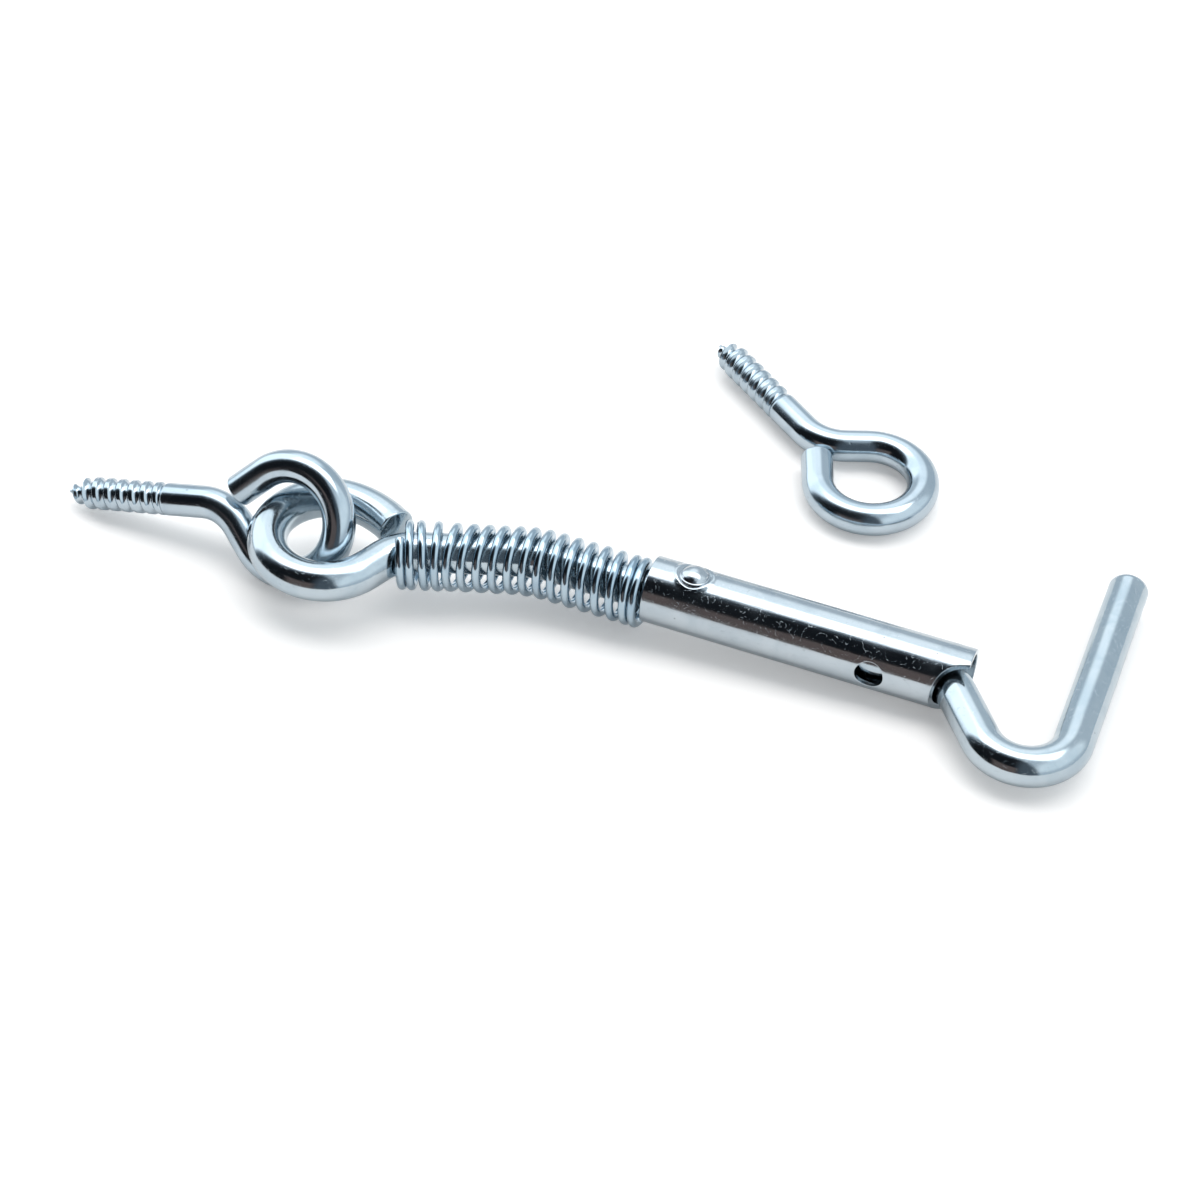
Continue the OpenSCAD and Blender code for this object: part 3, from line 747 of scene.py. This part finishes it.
def spread(tree, value, low, high, to_low=0.0, to_high=1.0):
    """Map a value from low..high smoothly to to_low..to_high, and keep it inside."""
    ends = {"Value": value, "From Min": low, "From Max": high, "To Min": to_low, "To Max": to_high}
    return add_node(tree, "ShaderNodeMapRange", ends, interpolation_type="SMOOTHSTEP").outputs[0]


def noise(tree, place, scale, detail, **more):
    """Outputs of one Noise node; `more` may set its roughness or distortion."""
    inputs = {"Vector": place, "Scale": scale, "Detail": detail, **more}
    return add_node(tree, "ShaderNodeTexNoise", inputs).outputs


def stretched(tree, place, scale):
    """A place scaled by axis, so that what is laid out in it is drawn long where the scale is small."""
    return add_node(tree, "ShaderNodeMapping", {"Vector": place, "Scale": scale}).outputs[0]


def painted(tree, mask, under, over):
    """One colour over another where the mask is 1."""
    colours = {key: value if isinstance(value, bpy.types.NodeSocket) else (*value, 1)
               for key, value in (("A", under), ("B", over))}
    return add_node(tree, "ShaderNodeMix", {"Factor": mask, **colours}, data_type="RGBA").outputs[2]


# %% Zinc plate
# Near-black painted shade for the dent dots, and how strongly it shows over the plate's colour
PAINTED_DENT_SHADE = (0.10, 0.10, 0.11)
DENT_SHADE_SHOWS, DENT_RARE = 0.55, 0.72
CLOUD_DULL, LINE_DULL, CURL_DULL = 0.10, 0.07, 0.25
LINE_DEEP, GRAIN_HIGH, MOTTLE_HIGH, CURL_DEEP, NICK_DEEP = 0.012, 0.004, 0.05, 0.03, 0.05


def zinc(name, colour, shade, gloss, lines=1.0, curls=0.0, nicks_and_shade=1.0, mottle=0.0):
    """Zinc plate in two close colours: `gloss` is the roughness of a clean spot, `lines` the drawing
    lines, `curls` the curled scratches from tumbling, `nicks_and_shade` the dents with the painted shade
    in them, and `mottle` a hammered bump."""
    made, tree, shader = new_material(name)
    place = add_node(tree, "ShaderNodeAttribute", attribute_name="unbent").outputs["Vector"]
    fine = noise(tree, stretched(tree, place, (0.05, 1.0, 1.0)), 5.0, 6.0, Roughness=0.65)[0]
    clouds = noise(tree, place, 0.16, 4.0, Distortion=0.6)[0]
    grain = noise(tree, place, 1.6, 5.0, Roughness=0.6)[0]
    bent = noise(tree, place, 0.45, 1.0)["Color"]
    warped = add_node(tree, "ShaderNodeVectorMath", {0: bent, 1: (7.0, 7.0, 7.0)}, operation="MULTIPLY")
    warped = add_node(tree, "ShaderNodeVectorMath", {0: place, 1: warped.outputs[0]}, operation="ADD")
    cells = add_node(tree, "ShaderNodeTexVoronoi", {"Vector": warped.outputs[0], "Scale": 0.34},
                     feature="DISTANCE_TO_EDGE")
    hair = spread(tree, cells.outputs[0], 0.0, 0.014, 1.0, 0.0)
    where = spread(tree, grain, 0.50, 0.60)
    hair = maths(tree, "MULTIPLY", hair, where)
    dots = add_node(tree, "ShaderNodeTexVoronoi", {"Vector": place, "Scale": 0.42, "Randomness": 1.0})
    dot = spread(tree, dots.outputs["Distance"], 0.02, 0.10, 1.0, 0.0)
    draw = add_node(tree, "ShaderNodeSeparateColor", {"Color": dots.outputs["Color"]}).outputs[0]
    dot = maths(tree, "MULTIPLY", dot, maths(tree, "GREATER_THAN", draw, DENT_RARE))
    tint = painted(tree, spread(tree, clouds, 0.40, 0.72), colour, shade)
    # The dent dots are painted dark: painted shade in the dents, over the plate's colour
    tint = painted(tree, maths(tree, "MULTIPLY", dot, DENT_SHADE_SHOWS * nicks_and_shade), tint, PAINTED_DENT_SHADE)
    tree.links.new(tint, shader.inputs["Base Color"])
    rough = spread(tree, clouds, 0.35, 0.75, gloss, gloss + CLOUD_DULL)
    rough = maths(tree, "ADD", rough, spread(tree, fine, 0.45, 0.75, 0.0, LINE_DULL * lines))
    rough = maths(tree, "ADD", rough, maths(tree, "MULTIPLY", hair, CURL_DULL * curls))
    tree.links.new(rough, shader.inputs["Roughness"])
    height = maths(tree, "MULTIPLY", fine, LINE_DEEP * lines)
    height = maths(tree, "ADD", height, maths(tree, "MULTIPLY", grain, GRAIN_HIGH + MOTTLE_HIGH * mottle))
    height = maths(tree, "SUBTRACT", height, maths(tree, "MULTIPLY", hair, CURL_DEEP * curls))
    height = maths(tree, "SUBTRACT", height, maths(tree, "MULTIPLY", dot, NICK_DEEP * nicks_and_shade))
    bump = add_node(tree, "ShaderNodeBump", {"Height": height, "Distance": 0.001, "Strength": 0.6})
    tree.links.new(bump.outputs[0], shader.inputs["Normal"])
    shader.inputs["Metallic"].default_value = 1.0
    return made


FINISHES = {
    "bent_hook": zinc("drawn_wire_plate", (0.49, 0.56, 0.605), (0.42, 0.50, 0.555), 0.09,
                      lines=0.9, curls=0.6, mottle=0.12),
    "locking_tube": zinc("tumbled_tube_plate", (0.49, 0.545, 0.585), (0.43, 0.49, 0.535), 0.09,
                         curls=0.7, mottle=0.10),
    "round_rivet": zinc("struck_rivet_plate", (0.50, 0.55, 0.59), (0.43, 0.48, 0.52), 0.13,
                        lines=0.1, mottle=0.6),
    "coil_spring": zinc("spring_wire_plate", (0.43, 0.53, 0.60), (0.34, 0.45, 0.54), 0.09,
                        lines=0.4, nicks_and_shade=0.3),
    "post_eye_wire": zinc("rolled_screw_plate", (0.48, 0.555, 0.61), (0.41, 0.49, 0.55), 0.10,
                          lines=0.7, curls=0.2),
}
FINISHES["loose_eye_wire"] = FINISHES["post_eye_wire"]
for name, finish in FINISHES.items():
    bpy.data.objects[name].data.materials.append(finish)
print("finishes:", ", ".join(sorted({finish.name for finish in FINISHES.values()})))

# %% [markdown]
# ## Table, light and camera
# Polished plate has hardly a colour of its own: it shows the room. A product photographer sets such a thing
# on white, hangs one soft light above it, has a window to the left and leaves the room behind the camera
# dark. That gives each wire its white line and its black band. The room is written into the world by
# direction: pale walls with a brighter side, the soft light and its glow, the window, the dark side and a
# brown strip low down in it. Area lamps could do the same, but each would need its own place, and a wire
# sees only directions.

# %% White table
PAPER, LIT_SEEN, LIT_MIRRORED = (0.94, 0.90, 0.87), 0.25, 0.12
TABLE_SIZE, TABLE_LOW = 4, 0.00005
bpy.ops.mesh.primitive_plane_add(size=TABLE_SIZE, location=(0, 0, -TABLE_LOW))
table = bpy.context.object
table.name = "white_table"
paper, tree, shader = new_material("white_paper")
shader.inputs["Base Color"].default_value = (*PAPER, 1)
shader.inputs["Roughness"].default_value = 0.9
shader.inputs["Specular IOR Level"].default_value = 0.1
rays = add_node(tree, "ShaderNodeLightPath").outputs
lit = maths(tree, "ADD", maths(tree, "MULTIPLY", rays["Is Camera Ray"], LIT_SEEN),
            maths(tree, "MULTIPLY", rays["Is Glossy Ray"], LIT_MIRRORED))
tree.links.new(lit, shader.inputs["Emission Strength"])
shader.inputs["Emission Color"].default_value = (1, 1, 1, 1)
table.data.materials.append(paper)

# %% Room round the table
WALLS, GLOW, WINDOW = (0.66, 0.75, 0.82), (1.45, 1.55, 1.62), (1.75, 1.88, 1.96)
SIDE, LAMP = (1.10, 1.20, 1.26), (3.4, 3.45, 3.5)
NIGHT, DUSK = (0.010, 0.012, 0.015), (0.10, 0.125, 0.15)
UMBER, CLAY = (0.11, 0.082, 0.075), (0.21, 0.165, 0.155)
TO_GLOW, TO_RIGHT = (-0.25, 0.66, 0.71), (-0.766, -0.643, 0.0)
world = bpy.data.worlds.new("room")
bpy.context.scene.world = world
world.use_nodes = True
tree = world.node_tree
tree.nodes.clear()
way = add_node(tree, "ShaderNodeTexCoord").outputs["Generated"]
x, y, z = add_node(tree, "ShaderNodeSeparateXYZ", {"Vector": way}).outputs


def both(*masks):
    """Product of masks: the directions that lie in all of them."""
    made = masks[0]
    for mask in masks[1:]:
        made = maths(tree, "MULTIPLY", made, mask)
    return made


def past(value, low, full):
    """A mask that rises from 0 at low to 1 at full."""
    return spread(tree, value, low, full)


def before(value, end, gone):
    """A mask that falls from 1 at end to 0 at gone."""
    return spread(tree, value, end, gone, 1.0, 0.0)


def between(value, low, full, end, gone):
    """A mask that rises from low to full and falls from end to gone."""
    return both(past(value, low, full), before(value, end, gone))


def towards(aim):
    """Cosine of the angle between a direction of the room and this one."""
    made = add_node(tree, "ShaderNodeVectorMath", {0: way, 1: aim}, operation="DOT_PRODUCT")
    return made.outputs["Value"]


window = both(before(x, -0.42, -0.28), between(y, -0.08, 0.02, 0.50, 0.66), between(z, 0.05, 0.2, 0.82, 0.92))
glow = past(towards(TO_GLOW), 0.90, 0.99)
side = both(past(x, 0.35, 0.6), before(y, 0.45, 0.62), past(z, 0.1, 0.4))
lamp = both(between(y, -0.10, 0.08, 0.40, 0.54), past(z, 0.80, 0.88))
dark = both(before(y, -0.14, -0.03), past(towards(TO_RIGHT), 0.0, 0.10))
stripes = noise(tree, stretched(tree, way, (1.5, 1.5, 22.0)), 1.0, 2.0)[0]
strip = both(between(x, -0.55, -0.42, 0.05, 0.15), before(z, 0.48, 0.55))
dusk = maths(tree, "MAXIMUM", past(x, -0.02, 0.24), past(y, -0.36, -0.08))
night = painted(tree, strip, painted(tree, dusk, NIGHT, DUSK), painted(tree, stripes, UMBER, CLAY))
room = painted(tree, glow, painted(tree, side, WALLS, SIDE), GLOW)
room = painted(tree, lamp, painted(tree, window, room, WINDOW), LAMP)
room = painted(tree, dark, room, night)
seen = add_node(tree, "ShaderNodeLightPath").outputs["Is Camera Ray"]
room = painted(tree, seen, room, (1, 1, 1))
background = add_node(tree, "ShaderNodeBackground", {"Color": room, "Strength": 1.0})
tree.links.new(background.outputs[0], add_node(tree, "ShaderNodeOutputWorld").inputs["Surface"])

# %% Camera at the photograph's angle
AZIMUTH, ELEVATION, DISTANCE = 20.7, 45.5, 535.7
LENS, SENSOR, NEAR, FAR = 90, 36, 0.01, 20
LOOK_AT = np.array([4.055, -21.503, 0.0])
a, e = math.radians(AZIMUTH), math.radians(ELEVATION)
back = np.array([math.sin(a) * math.cos(e), -math.cos(a) * math.cos(e), math.sin(e)])
camera = bpy.data.objects.new("camera", bpy.data.cameras.new("camera"))
bpy.context.scene.collection.objects.link(camera)
camera.data.lens, camera.data.sensor_width = LENS, SENSOR
camera.data.clip_start, camera.data.clip_end = NEAR, FAR
camera.location = (LOOK_AT + back * DISTANCE) * MM
camera.rotation_euler = (math.pi / 2 - e, 0, a)
bpy.context.scene.camera = camera
bpy.context.scene.view_settings.view_transform = "Standard"
